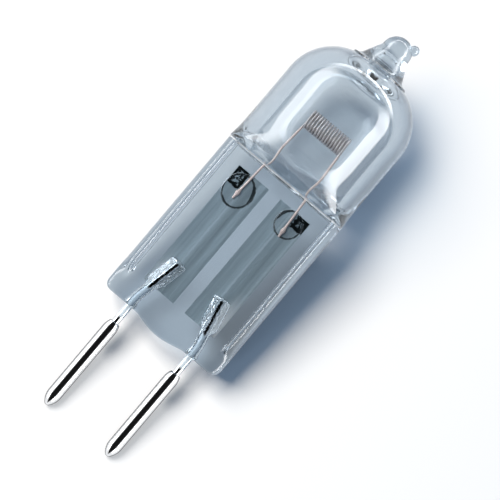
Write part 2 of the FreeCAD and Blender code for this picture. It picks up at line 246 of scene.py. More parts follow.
def tube(path, radii, sides):
    """A tube along a path with one radius for each point, carried along without twist, and
    with softly rounded ends."""
    bulge = 0.5
    path, radii = np.asarray(path, float), np.asarray(radii, float)
    step = np.gradient(path, axis=0)
    step /= np.linalg.norm(step, axis=1)[:, None]
    side = np.cross(step[0], (0.0, 1.0, 0.0))
    around = np.linspace(0, 2 * math.pi, sides, endpoint=False)
    rings = []
    for p, d, r in zip(path, step, radii):
        side = side - d * np.dot(side, d)
        side /= np.linalg.norm(side)
        other = np.cross(d, side)
        rings.append(p + r * (np.outer(np.cos(around), side) + np.outer(np.sin(around), other)))
    caps = []
    for end, sign in ((0, -1), (-1, 1)):
        spread = rings[end] - path[end]
        out = step[end] * sign * radii[end] * bulge
        caps.append([path[end] + spread * math.cos(a) + out * math.sin(a) for a in np.radians((30, 55, 75))])
    return skin(caps[0][::-1] + rings + caps[1])


def ring_at(rx, ry, z):
    """A ring of points at one height, or with a height for each point."""
    return np.stack([rx, ry, np.broadcast_to(z, rx.shape)], axis=1)


def turned(profile, centre=(0.0, 0.0), sides=64):
    """A surface turned about a line along z. The profile is (radius, z) from low to high."""
    around = np.linspace(0, 2 * math.pi, sides, endpoint=False)
    ring_x, ring_y = np.cos(around), np.sin(around)
    return skin([ring_at(centre[0] + r * ring_x, centre[1] + r * ring_y, z) for r, z in profile])


def arc(cx, cz, r, start, end, count):
    angles = np.radians(np.linspace(start, end, count))
    return [(cx + r * math.cos(a), cz + r * math.sin(a)) for a in angles]


def boolean(obj, tool, operation):
    """Cuts a tool from an object or unites them, and removes the tool."""
    mod = obj.modifiers.new(operation.lower(), "BOOLEAN")
    mod.object, mod.operation, mod.solver = tool, operation, "EXACT"
    graph = bpy.context.evaluated_depsgraph_get()
    mesh = bpy.data.meshes.new_from_object(obj.evaluated_get(graph))
    obj.modifiers.clear()
    obj.data = mesh
    bpy.data.objects.remove(tool)


def join(obj, *others):
    """Takes the meshes of other objects into one."""
    bm = bmesh.new()
    bm.from_mesh(obj.data)
    for other in others:
        bm.from_mesh(other.data)
    bm.to_mesh(obj.data)
    bm.free()
    for other in others:
        bpy.data.objects.remove(other)


# Glass outline
def rim(depth, b, web):
    """Half thickness at a depth in from the side: up a long round to the rim's crest, and
    down a short one to half thickness web."""
    outer = b * np.sqrt(np.maximum(1 - ((CREST - depth) / CREST) ** 2, 0))
    inner = web + (b - web) * np.sqrt(np.maximum(1 - ((depth - CREST) / (RIM_W - CREST)) ** 2, 0))
    return np.where(depth < CREST, outer, inner)


def section(a, b, power=2.0, web=None):
    """One ring in x and y: a rounded oblong, an oval or a circle by its power, thinned
    between the rims to half thickness web. Points lie closer at the sides."""
    t = np.linspace(0, math.pi / 2, 900)
    x = a * np.maximum(np.cos(t), 0) ** (2 / power)
    y = b * np.maximum(np.sin(t), 0) ** (2 / power)
    if web is not None and web < b:
        share = min((b - web) / (RIM - WEB), 1.0)
        y = (1 - share) * y * web / b + share * rim(a - x, b, web)
    step = np.hypot(np.diff(x), np.diff(y)) * np.where(x[1:] > a - CLOSE_STRIP, 2.0, 1.0)
    run = np.concatenate([[0], np.cumsum(step)])
    even = np.linspace(0, run[-1], QUARTER + 1)
    qx, qy = np.interp(even, run, x), np.interp(even, run, y)
    qx[-1], qy[0] = 0.0, 0.0
    rx = np.concatenate([qx[:-1], -qx[::-1][:-1], -qx[:-1], qx[::-1][:-1]])
    ry = np.concatenate([qy[:-1], qy[::-1][:-1], -qy[:-1], -qy[::-1][:-1]])
    return rx, ry


def seal_foot(x):
    """Lower edge of the seal over its width: round corners and a sag between the pins."""
    x = np.abs(x)
    sag = SAG * (1 - np.minimum(x / SAG_REACH, 1) ** 2) ** 1.5
    corner = np.maximum(x - (PINCH_W - CORNER_R), 0)
    return -sag + CORNER_R - np.sqrt(np.maximum(CORNER_R**2 - corner**2, 0))


def seal_rings():
    """The flat seal, from its lower face to the corner under the bulb."""
    rings = []
    top = PINCH_H - JAW_R
    # The folded lower face, from the middle line out to its rounded edge
    rx, ry = section(PINCH_W, WEB, PINCH_POWER)
    for f in (0.0, 0.15, 0.3, 0.45, 0.6, 0.72):
        rings.append(ring_at(rx, ry * f, seal_foot(rx)))
    for a in np.radians(np.linspace(0, 90, 6)):
        f = (WEB - EDGE_R + EDGE_R * math.sin(a)) / WEB
        rings.append(ring_at(rx, ry * f, seal_foot(rx) + EDGE_R * (1 - math.cos(a))))
    for v in np.linspace(0.03, 1.0, 46):
        z = EDGE_R + v * (top - EDGE_R)
        b = WEB + (RIM - WEB) * float(smooth(*RIM_RISE, z))
        rx, ry = section(PINCH_W, b, PINCH_POWER, WEB)
        low = seal_foot(rx) + EDGE_R
        rings.append(ring_at(rx, ry, low + v * (top - low)))
    return rings


def bulb_rings():
    """The bulb, from the seal to the head of the exhaust tip."""
    corner_power, power_fall, rim_share = 6.0, 0.6, 0.3
    belly_power, round_from, hurry = 3.2, 0.15, 2.2
    rings = []
    # The hollow corner where the seal swells into the bulb
    for a in np.radians((20, 40, 60, 78)):
        lift = JAW_R * (1 - math.cos(a))
        rx, ry = section(PINCH_W, RIM + lift * rim_share, corner_power - power_fall * a, WEB + lift)
        rings.append(ring_at(rx, ry, PINCH_H - JAW_R + JAW_R * math.sin(a)))
    # The belly, from an oblong to a circle
    for a in np.radians((*range(88, 9, -6), 5, 0)):
        b = BULB_R - BELLY + BELLY * math.cos(a)
        wide = PINCH_W + (BULB_R - PINCH_W) * math.cos(a)
        power = 2 + belly_power * smooth(round_from, 1.0, a / (math.pi / 2)) ** hurry
        rings.append(ring_at(*section(wide, b, power), PINCH_H + BELLY * (1 - math.sin(a))))
    profile = [(BULB_R, z) for z in np.linspace(PINCH_H + BELLY, DOME_TOP - DOME_R, 10)[1:-1]]
    profile += arc(BULB_R - DOME_R, DOME_TOP - DOME_R, DOME_R, 0, 72, 22)
    # Flare into the exhaust tip, its cone and its round head
    profile += [(r, DOME_TOP + over) for r, over in TIP_FLARE]
    root_r, root_z = profile[-1]
    profile += [(root_r - CONE_IN * f, root_z + CONE_UP * f) for f in (0.2, 0.4, 0.6, 0.8, 0.93)]
    profile += arc(0.0, TIP_HEAD_Z, TIP_HEAD_R, -4, 87, 14)
    for r, z in profile:
        lean = math.tan(TIP_LEAN) * max(z - DOME_TOP, 0)
        rx, ry = section(r, r)
        rings.append(ring_at(rx + lean, ry, z))
    return rings


def gas_rings():
    """The hollow of the bulb, from its flat floor to the blind end of the exhaust bore."""
    floor_power, fold_width, fold_spread, dish = 2.4, 0.9, 0.08, 0.1
    widening = 0.8
    rings = []
    rx, ry = section(FLOOR_A, FLOOR_B, floor_power)
    for f in (0.0, 0.3, 0.6, 0.8):
        rings.append(ring_at(rx * (fold_width + fold_spread * f), ry * f, FLOOR_Z + dish * f * f))
    inner, crown, top = BULB_R - WALL, DOME_TOP - CROWN, PINCH_H + BELLY
    for a in np.radians(range(88, -1, -8)):
        wide = FLOOR_A + (inner - FLOOR_A) * math.cos(a) ** widening
        b = FLOOR_B + (inner - FLOOR_B) * math.cos(a)
        rings.append(ring_at(*section(wide, b), top - (top - FLOOR_Z) * math.sin(a)))
    profile = [(inner, z) for z in np.linspace(top, crown - INNER_R, 10)[1:-1]]
    profile += arc(inner - INNER_R, crown - INNER_R, INNER_R, 0, 88, 24)
    profile += [(r, crown + over) for r, over in BORE_FLARE]
    profile += [(BORE_R, BORE_STRAIGHT)]
    for a in np.radians((0, 20, 40, 58, 74, 86)):
        profile.append((BORE_R * math.cos(a), BORE_END + BORE_R * math.sin(a)))
    for r, z in profile:
        rings.append(ring_at(*section(r, r), z))
    return rings


def lead_path(side, low, past=0.0, count=48):
    """Straight up from the pin, then one gentle bend inwards over the foil."""
    lean = math.atan2(PIN_X - LEAD_TOP_X, LEAD_TOP - LEAD_BEND)
    reach = LEAD_BEND_R * math.tan(lean / 2)
    bend_from = LEAD_BEND - reach
    straight = np.linspace(low, bend_from, count // 3)
    zs = np.concatenate([straight, np.linspace(bend_from, LEAD_TOP + past, count)[1:]])
    xs = []
    for z in zs:
        if z <= bend_from:
            xs.append(PIN_X)
        elif z <= LEAD_BEND + reach:
            xs.append(PIN_X - (z - bend_from) ** 2 * math.tan(lean) / (4 * reach))
        else:
            xs.append(PIN_X - (z - LEAD_BEND) * math.tan(lean))
    return np.stack([side * np.array(xs), np.zeros(len(zs)), zs], axis=1)


def lead_way(side):
    """Room round a lead wire: a funnel where it leaves the glass, and sloping sides at its
    upper end, where the glass came away from the foil."""
    path = lead_path(side, WAY_LOW, WAY_PAST)
    radii = WAY_R + FUNNEL * smooth(*FUNNEL_FADE, path[:, 2])
    verts, faces = tube(path, radii, 40)
    axis_x = np.interp(verts[:, 2], path[:, 2], path[:, 0])
    spread = smooth(FAN_FROM, FAN_FROM + FAN_RISE, verts[:, 2]) * smooth(*FAN_BACK, verts[:, 1])
    verts[:, 0] = axis_x + (verts[:, 0] - axis_x) * (1 + spread)
    way = new_object("way", verts, faces)
    weld(way)
    return way


def ellipsoid(name, centre, reach, sides=64):
    """A closed egg with half axes reach."""
    points, quads = turned(arc(0.0, 0.0, 1.0, -88, 88, 40), sides=sides)
    obj = new_object(name, points * reach + centre, quads)
    weld(obj)
    return obj


def wear(obj, mats, index):
    """Gives an object all the glass materials, with one of them on its faces."""
    for mat in mats:
        obj.data.materials.append(mat)
    obj.data.polygons.foreach_set("material_index", [index] * len(obj.data.polygons))
    return obj


def paint(obj, index, low, high):
    """Puts another material on the faces between two heights."""
    for face in obj.data.polygons:
        if low * MM < face.center.z < high * MM:
            face.material_index = index


# Pieces
def build_glass(mats):
    """The envelope: outer skin with its bead, the ways of the leads, and as inner skins the
    hollow of the bulb and the pockets at the welds."""
    outer, inner, crazed, milky = range(4)
    glass = new_object("glass_envelope_body", *skin(seal_rings() + bulb_rings(), close_low=False))
    weld(glass)
    wear(glass, mats, outer)
    # The milky line along the seal's top edge: its whiteness is a painted highlight
    paint(glass, milky, *JAW_GLINT_LINE)
    # Bead left where the exhaust tube was drawn off
    bead = ellipsoid("bead", (BEAD_X, 0.0, BEAD_Z), (BEAD_R, BEAD_R, BEAD_R), 40)
    boolean(glass, wear(bead, mats, outer), "UNION")
    for side in (-1, 1):
        way = wear(lead_way(side), mats, inner)
        paint(way, crazed, FAN_FROM, PINCH_H)
        boolean(glass, way, "DIFFERENCE")
    gas = new_object("gas", *skin(gas_rings(), close_low=False))
    weld(gas)
    hollows = [gas]
    for wide, high, mid_x, mid_z in WELD_MARKS:
        hollows.append(ellipsoid("pocket", (mid_x, FOIL_Y, mid_z), (wide, POCKET_DEPTH, high)))
    for hollow in hollows:
        flip(hollow)
        wear(hollow, mats, inner)
    join(glass, *hollows)
    shade_smooth(glass, GLASS_SHARP)
    return glass


def filament_leg(side, half):
    """Points up one leg, from the foil to the coil's end, half the coil's length off the middle."""
    short, swing_from = 0.03, 0.45
    z = np.linspace(LEG_LOW, COIL_Z - short, 90)
    f = (z - LEG_LOW) / (COIL_Z - LEG_LOW)
    x = side * (LEG_X + (half - LEG_X) * f)
    y = LEG_Y - (side * COIL_R + LEG_Y) * smooth(swing_from, 1.0, f)
    return np.stack([x, y, z], axis=1)


def build_filament():
    """One tungsten wire: a close coil across the lamp and two legs into the seal."""
    turns = np.linspace(0, COIL_TURNS * 2 * math.pi, int(COIL_TURNS * 40))
    half = COIL_TURNS * COIL_PITCH / 2
    coil_x = -half + COIL_PITCH * turns / (2 * math.pi)
    coil = np.stack([coil_x, COIL_R * np.cos(turns), COIL_Z + COIL_R * np.sin(turns)], axis=1)
    path = np.concatenate([filament_leg(-1, half), coil, filament_leg(1, half)[::-1]])
    swell, over, length = SPOT
    weld_spot = swell * np.exp(-(((path[:, 2] - LEG_LOW - over) / length) ** 2))
    return new_object("filament_wire", *tube(path, WIRE_R + weld_spot, 14))


def build_foil(name, side):
    """A thin strip with soft lengthwise creases and feathered sides."""
    nx, nz = 40, 90
    broad, fine, feather_w, feathered = 0.006, 0.004, 0.25, 0.7
    xs = np.linspace(-FOIL_W / 2, FOIL_W / 2, nx)
    zs = np.linspace(FOIL_LOW, FOIL_HIGH, nz)
    gx, gz = np.meshgrid(xs, zs)
    sway = 0.4 * np.sin(0.7 * gz + side)
    wave = broad * np.sin(9 * gx + sway) + fine * np.sin(21 * gx + 0.3 * gz)
    feather = 1 - smooth(FOIL_W / 2 - feather_w, FOIL_W / 2, np.abs(gx)) * feathered
    verts = []
    for face in (-1, 1):
        y = FOIL_Y + wave + FOIL_T * (1 + face * feather) / 2
        verts.append(np.stack([side * FOIL_X + gx, y, gz], axis=2).reshape(-1, 3))
    count = nx * nz
    faces = []
    for i in range(nz - 1):
        for j in range(nx - 1):
            a = i * nx + j
            faces.append((a, a + 1, a + nx + 1, a + nx))
            faces.append((count + a, count + a + nx, count + a + nx + 1, count + a + 1))
    border = [(0, j) for j in range(nx)] + [(i, nx - 1) for i in range(1, nz)]
    border += [(nz - 1, j) for j in range(nx - 2, -1, -1)] + [(i, 0) for i in range(nz - 2, 0, -1)]
    ids = [i * nx + j for i, j in border]
    for a, b in zip(ids, ids[1:] + ids[:1]):
        faces.append((b, a, count + a, count + b))
    return new_object(name, np.concatenate(verts), faces)


def build_lead(name, side):
    path = lead_path(side, LEAD_FOOT)
    return new_object(name, *tube(path, np.full(len(path), LEAD_R), 36))


def build_pin(name, side):
    """Bullet nose, plain shank, a tapered, softly rounded shoulder and the mouth of its bore."""
    nose = nose_radius()
    start = math.degrees(math.asin(NOSE / nose))
    profile = [(r, PIN_TIP + over) for r, over in NOSE_CAP]
    profile += arc(PIN_R - nose, PIN_TIP + NOSE, nose, -start + 2, 0, 16)
    profile += [(PIN_R, z) for z in np.linspace(PIN_TIP + NOSE, PIN_TOP - SHANK_END, 24)[1:]]
    profile += [(r, PIN_TOP - under) for r, under in SHOULDER + PIN_MOUTH]
    return new_object(name, *turned(profile, (side * PIN_X, 0.0), 72))


# Node helpers
def nodes_of(name):
    """A new material, its nodes, its shader and its output."""
    mat = bpy.data.materials.new(name)
    mat.use_nodes = True
    tree = mat.node_tree
    return mat, tree, tree.nodes["Principled BSDF"], tree.nodes["Material Output"]


def add(tree, kind, **inputs):
    node = tree.nodes.new(kind)
    for key, value in inputs.items():
        node.inputs[key.replace("_", " ")].default_value = value
    return node


def maths(tree, operation, first, second=0.0):
    """A math node on two sockets or plain numbers."""
    node = tree.nodes.new("ShaderNodeMath")
    node.operation = operation
    for socket, value in zip(node.inputs, (first, second)):
        if isinstance(value, (int, float)):
            socket.default_value = value
        else:
            tree.links.new(value, socket)
    return node.outputs[0]


def plus(tree, first, second):
    return maths(tree, "ADD", first, second)


def minus(tree, first, second):
    return maths(tree, "SUBTRACT", first, second)


def times(tree, first, second):
    return maths(tree, "MULTIPLY", first, second)


def larger(tree, first, second):
    return maths(tree, "MAXIMUM", first, second)


def smaller(tree, first, second):
    return maths(tree, "MINIMUM", first, second)


def unsigned(tree, value):
    return maths(tree, "ABSOLUTE", value)


def squares(tree, first, second):
    """The sum of two squares."""
    return plus(tree, times(tree, first, first), times(tree, second, second))


def from_middle(tree, value, middle, reach):
    """How far a value lies from a middle, as a share of the reach."""
    return maths(tree, "DIVIDE", minus(tree, value, middle), reach)


def fade(tree, value, low, high):
    """0 below low, 1 above high, soft between. With low above high it falls instead."""
    node = tree.nodes.new("ShaderNodeMapRange")
    node.interpolation_type = "SMOOTHSTEP"
    falls = low > high
    ends = {"From Min": min(low, high), "From Max": max(low, high), "To Min": falls, "To Max": not falls}
    for name, number in ends.items():
        node.inputs[name].default_value = float(number)
    tree.links.new(value, node.inputs["Value"])
    return node.outputs["Result"]


def band(tree, value, rise, fall):
    """1 between a rise and a fall, 0 outside."""
    return times(tree, fade(tree, value, *rise), fade(tree, value, *fall))


def facing(tree):
    """0 where a face looks at the viewer, up to 1 where it is seen from its side."""
    return add(tree, "ShaderNodeLayerWeight", Blend=0.5).outputs["Facing"]


def noise(tree, vector, scale, detail=3.0, roughness=0.6):
    node = add(tree, "ShaderNodeTexNoise", Scale=scale, Detail=detail, Roughness=roughness)
    tree.links.new(vector, node.inputs["Vector"])
    return node.outputs["Fac"]


def bump(tree, body, height, strength, distance):
    node = add(tree, "ShaderNodeBump", Strength=strength, Distance=distance)
    tree.links.new(height, node.inputs["Height"])
    tree.links.new(node.outputs["Normal"], body.inputs["Normal"])


def mixed(tree, factor, first, second):
    """The first colour where the factor is 0, the second where it is 1."""
    node = tree.nodes.new("ShaderNodeMixRGB")
    node.inputs["Color1"].default_value = (*first, 1)
    node.inputs["Color2"].default_value = (*second, 1)
    tree.links.new(factor, node.inputs["Fac"])
    return node.outputs["Color"]


def overlay(tree, body, mask, colour):
    """Lays a colour over the base colour of a material where the mask is 1."""
    stain = tree.nodes.new("ShaderNodeMixRGB")
    stain.inputs["Color2"].default_value = (*colour, 1)
    tree.links.new(mask, stain.inputs["Fac"])
    tree.links.new(body.inputs["Base Color"].links[0].from_socket, stain.inputs["Color1"])
    tree.links.new(stain.outputs["Color"], body.inputs["Base Color"])


def shade_by(tree, factor, first, second, out):
    """Shows the first shader where the factor is 0 and the second where it is 1."""
    mix = tree.nodes.new("ShaderNodeMixShader")
    for socket, source in zip(mix.inputs, (factor, first.outputs[0], second.outputs[0])):
        tree.links.new(source, socket)
    tree.links.new(mix.outputs[0], out.inputs["Surface"])


def ray(tree, kind):
    """1 for rays of one kind, such as Shadow or Glossy."""
    return tree.nodes.new("ShaderNodeLightPath").outputs[f"Is {kind} Ray"]


def lamp_place(tree):
    """The place on the lamp in its own frame, in millimetres: as a vector, and x and z."""
    where = add(tree, "ShaderNodeTexCoord")
    lie = add(tree, "ShaderNodeMapping", Location=LAMP.translation, Rotation=LAMP.to_euler())
    lie.inputs["Scale"].default_value = (MM, MM, MM)
    lie.vector_type = "TEXTURE"
    tree.links.new(where.outputs["Object"], lie.inputs["Vector"])
    split = add(tree, "ShaderNodeSeparateXYZ")
    tree.links.new(lie.outputs["Vector"], split.inputs[0])
    return lie.outputs["Vector"], split.outputs["X"], split.outputs["Z"]


# Places of colours and shades, in millimetres in the lamp's frame, as rise or fall
HOLLOW_FOOT = (17.6, 16.8)
FAR_SIDE_X = (3.2, 3.8)
FAR_SIDE_Z = (23.5, 25.5)
UNDER_BULB = (13.0, 18.0)
SKIN_RISE = (-1.3, -1.0)
SKIN_FALL = (2.3, 1.9)
BLACK_RISE = (1.95, 2.25)
LEGS_FALL = (19.9, 19.5)
CREASE_FALL = (0.13, 0.03)
CORNER_X = 2.5
HAZE_MIDDLE = (2.7, 3.7)
HAZE_REACH = (0.95, 1.7)
WEDGE_RISE_X = (2.7, 3.1)
WEDGE_FALL_Z = (6.9, 3.4)
# Heights over the floor, in metres: lower glass shades more, and the bulb counts as higher
NEAR_FLOOR = (7.5 * MM, 5.0 * MM)
BULB_LIFT = 2.0 * MM
# Depths of relief, in metres
FLOW_DEPTH = 0.0001
STREAK_DEPTH = 0.00002

# How far a face is turned away: over how much a tint sets in, where sides count as round, where
# the painted dark edge line of the pins starts and where the painted dark reflection of the leads ends
TINT_FADE = 0.14
ROUND_SIDE = (0.25, 0.6)
PIN_EDGE = (0.42, 0.6)
CREST_FALL = (0.52, 0.4)
# Parts of a weld's mark, as shares of its half axes
RING_INSIDE = (0.86, 0.91)
RING_OUTSIDE = (1.02, 0.97)
RING_SWELL = 0.14
SWELL_ACROSS = (0.2, 0.9)
SWELL_UP = (-0.4, 0.2)
# Values of the specks between bare and black foil, and between clear and hazy
BARE_SPECKS = (0.55, 0.45)
HAZY_SPECKS = (0.3, 0.6)
QUARTZ_IOR = 1.458
# How much a colour hides of what lies below, and how much roughness the black takes away
COPPER_COVER = 0.7
EDGE_COVER = 0.9
CREASE_COVER = 0.5
RING_COVER = 0.9
BLACK_GLOSS = 0.6
# Fineness of the noise in ragged borders, uneven lines and specks, per millimetre
RAGGED_SCALE = 3.0
WOBBLE_SCALE = 3.2
SPECK_SCALE = 5.0

# Colours
WHITE = (1.0, 1.0, 1.0)
GLASSY = (0.72, 0.82, 0.9)
COPPERY = (1.0, 0.74, 0.64)
# Painted dark reflection on the leads
WIRE_PAINTED_DARK = (0.012, 0.013, 0.015)
# Painted dark edge line on the pins
EDGE_PAINTED_DARK = (0.03, 0.033, 0.036)
# Painted shade and dark reflection on the foils' weld marks
FOIL_PAINTED_DARK = (0.008, 0.012, 0.013)
# Painted highlight on the foils' creases
CREASE_HIGHLIGHT = (0.8, 0.9, 0.95)
# Partly crazed whiteness, partly painted highlight, round the leads' ends on the foils
HAZE_AND_GLINT = (0.97, 0.98, 1.0)


# Materials
def quartz(name, tint=WHITE, edge_shade_tint=WHITE, rim_from=0.8, shade=WHITE, steep=WHITE,
           relief=0.03, grain=420.0, foot=0.0, clear=1.0):
    """Fused quartz. The tints are what two crossings of a face leave of the view, straight on
    and at a slant steeper than rim_from, or than that less foot at the hollow's floor. The
    darker slant tint is painted shade, which draws dark outlines along the edges and dark arcs
    at the hollow's floor. Shade and steep are what one crossing leaves of the light behind it,
    in the flat middle and in the round sides. Relief and grain are the strength and fineness of
    its flow marks."""
    mat, tree, body, out = nodes_of(name)
    link = tree.links.new
    slant = facing(tree)
    _, x, z = lamp_place(tree)
    # Painted shade: faces seen at a slant, and more so near the hollow's floor, take the darker tint
    turned_away = plus(tree, slant, times(tree, fade(tree, z, *HOLLOW_FOOT), foot))
    painted_edge_shade = fade(tree, turned_away, rim_from, rim_from + TINT_FADE)
    link(mixed(tree, painted_edge_shade, tint, edge_shade_tint), body.inputs["Base Color"])
    body.inputs["Transmission Weight"].default_value = clear
    body.inputs["Roughness"].default_value = 0.0
    body.inputs["IOR"].default_value = QUARTZ_IOR
    # Faint flow marks from the flame and the press
    where = add(tree, "ShaderNodeTexCoord").outputs["Object"]
    bump(tree, body, noise(tree, where, grain, detail=2.0, roughness=0.45), relief, FLOW_DEPTH)
    # Light on its way between a lamp and a matt surface passes straight through, dimmed most
    # in the round sides near the floor
    far_side = larger(tree, fade(tree, x, *FAR_SIDE_X), fade(tree, z, *FAR_SIDE_Z))
    round_side = larger(tree, fade(tree, slant, *ROUND_SIDE), far_side)
    split = add(tree, "ShaderNodeSeparateXYZ")
    link(where, split.inputs[0])
    lifted = plus(tree, split.outputs["Z"], times(tree, fade(tree, z, *UNDER_BULB), BULB_LIFT))
    dimmed = times(tree, round_side, fade(tree, lifted, *NEAR_FLOOR))
    through = add(tree, "ShaderNodeBsdfTransparent")
    link(mixed(tree, dimmed, shade, steep), through.inputs["Color"])
    shade_by(tree, larger(tree, ray(tree, "Shadow"), ray(tree, "Diffuse")), body, through, out)
    return mat


def metal(name, dark, light, rough, scale, stretch, relief=0.15, rough_spread=0.12):
    """Drawn or rolled metal: colour and roughness vary in streaks along the lamp, stretched
    so many times."""
    mat, tree, body, _ = nodes_of(name)
    link = tree.links.new
    body.inputs["Metallic"].default_value = 1.0
    where = add(tree, "ShaderNodeTexCoord")
    lie = add(tree, "ShaderNodeMapping", Rotation=LAMP.to_euler(), Scale=(1, 1, stretch))
    lie.vector_type = "TEXTURE"
    link(where.outputs["Object"], lie.inputs["Vector"])
    streaks = noise(tree, lie.outputs["Vector"], scale, detail=5.0)
    ramp = tree.nodes.new("ShaderNodeValToRGB")
    for mark, place, colour in zip(ramp.color_ramp.elements, (0.3, 0.7), (dark, light)):
        mark.position = place
        mark.color = (*colour, 1)
    link(streaks, ramp.inputs["Fac"])
    link(ramp.outputs["Color"], body.inputs["Base Color"])
    spread = add(tree, "ShaderNodeMapRange", To_Min=rough, To_Max=rough + rough_spread)
    link(streaks, spread.inputs["Value"])
    link(spread.outputs["Result"], body.inputs["Roughness"])
    bump(tree, body, streaks, relief, STREAK_DEPTH)
    return mat, tree, body


def lead_metal():
    """Molybdenum wire, black over the foil along the side that faces the viewer, a painted dark
    reflection, and with a pale glassy skin along the way out of the seal."""
    raggedness, less_metallic = 0.6, 0.85
    mat, tree, body = metal(
        "molybdenum_wire", dark=(0.62, 0.64, 0.67), light=(0.80, 0.82, 0.85), rough=0.08, scale=2500.0,
        stretch=12, relief=0.1, rough_spread=0.1,
    )
    vector, _, z = lamp_place(tree)
    skin_part = band(tree, z, SKIN_RISE, SKIN_FALL)
    overlay(tree, body, skin_part, GLASSY)
    # The painted dark reflection runs along the side of the wire that faces the viewer, with a ragged border
    border = times(tree, noise(tree, vector, RAGGED_SCALE, roughness=0.65), raggedness)
    ragged = plus(tree, facing(tree), border)
    crest = times(tree, fade(tree, z, *BLACK_RISE), fade(tree, ragged, *CREST_FALL))
    overlay(tree, body, crest, WIRE_PAINTED_DARK)
    tree.links.new(minus(tree, 1.0, times(tree, skin_part, less_metallic)), body.inputs["Metallic"])
    return mat


def filament_metal():
    """Drawn tungsten, grey-brown in the coil and coppery in the legs."""
    coil_metallic, less_in_legs = 0.75, 0.7
    mat, tree, body = metal(
        "tungsten", dark=(0.50, 0.43, 0.41), light=(0.90, 0.80, 0.76), rough=0.28, scale=2500.0, stretch=1,
    )
    _, _, z = lamp_place(tree)
    legs = times(tree, fade(tree, z, *LEGS_FALL), COPPER_COVER)
    overlay(tree, body, legs, COPPERY)
    metallic = minus(tree, coil_metallic, times(tree, legs, less_in_legs))
    tree.links.new(metallic, body.inputs["Metallic"])
    return mat


def pin_metal():
    """Bright nickel with a thin painted dark line along its edges as seen. Some light gets
    past it to the floor.
    """
    light_past = 0.7
    mat, tree, body = metal(
        "pin_metal", dark=(0.72, 0.73, 0.75), light=(0.9, 0.91, 0.92), rough=0.05, scale=1500.0,
        stretch=20, relief=0.08, rough_spread=0.05,
    )
    # Painted dark line along the edges that are seen from the side
    overlay(tree, body, times(tree, fade(tree, facing(tree), *PIN_EDGE), EDGE_COVER), EDGE_PAINTED_DARK)
    through = add(tree, "ShaderNodeBsdfTransparent")
    past = times(tree, ray(tree, "Shadow"), light_past)
    shade_by(tree, past, body, through, tree.nodes["Material Output"])
    return mat


def weld_ring(tree, x, z, wobble, mark):
    """The border of a weld's oval mark, a painted dark outline, thickest on the side towards
    the lamp's middle.
    """
    unevenness = 0.25
    wide, high, mid_x, mid_z = mark
    u = from_middle(tree, x, mid_x, wide)
    v = from_middle(tree, z, mid_z, high)
    ring = plus(tree, maths(tree, "SQRT", squares(tree, u, v)), times(tree, wobble, unevenness))
    to_middle = times(tree, u, -math.copysign(1.0, mid_x))
    inward = times(tree, fade(tree, to_middle, *SWELL_ACROSS), fade(tree, v, *SWELL_UP))
    inside = plus(tree, ring, times(tree, inward, RING_SWELL))
    return times(tree, fade(tree, inside, *RING_INSIDE), fade(tree, ring, *RING_OUTSIDE))


def painted_dark_corner(tree, off_middle, z, wobble, specks, dark_from, frame_width):
    """The foil's upper outer corner in painted dark reflection: solid near its border, with
    specks of bare foil inside.
    """
    soft_border, fading = 0.05, 1.6
    outward = minus(tree, plus(tree, off_middle, wobble), CORNER_X)
    upward = minus(tree, plus(tree, z, wobble), dark_from)
    edge_x = minus(tree, FOIL_X + FOIL_W / 2, off_middle)
    edge_z = minus(tree, FOIL_HIGH, z)
    inset = smaller(tree, smaller(tree, outward, upward), smaller(tree, edge_x, edge_z))
    near_border = fade(tree, inset, frame_width * fading, frame_width)
    solid = larger(tree, near_border, fade(tree, specks, *BARE_SPECKS))
    return times(tree, fade(tree, inset, 0.0, soft_border), solid)


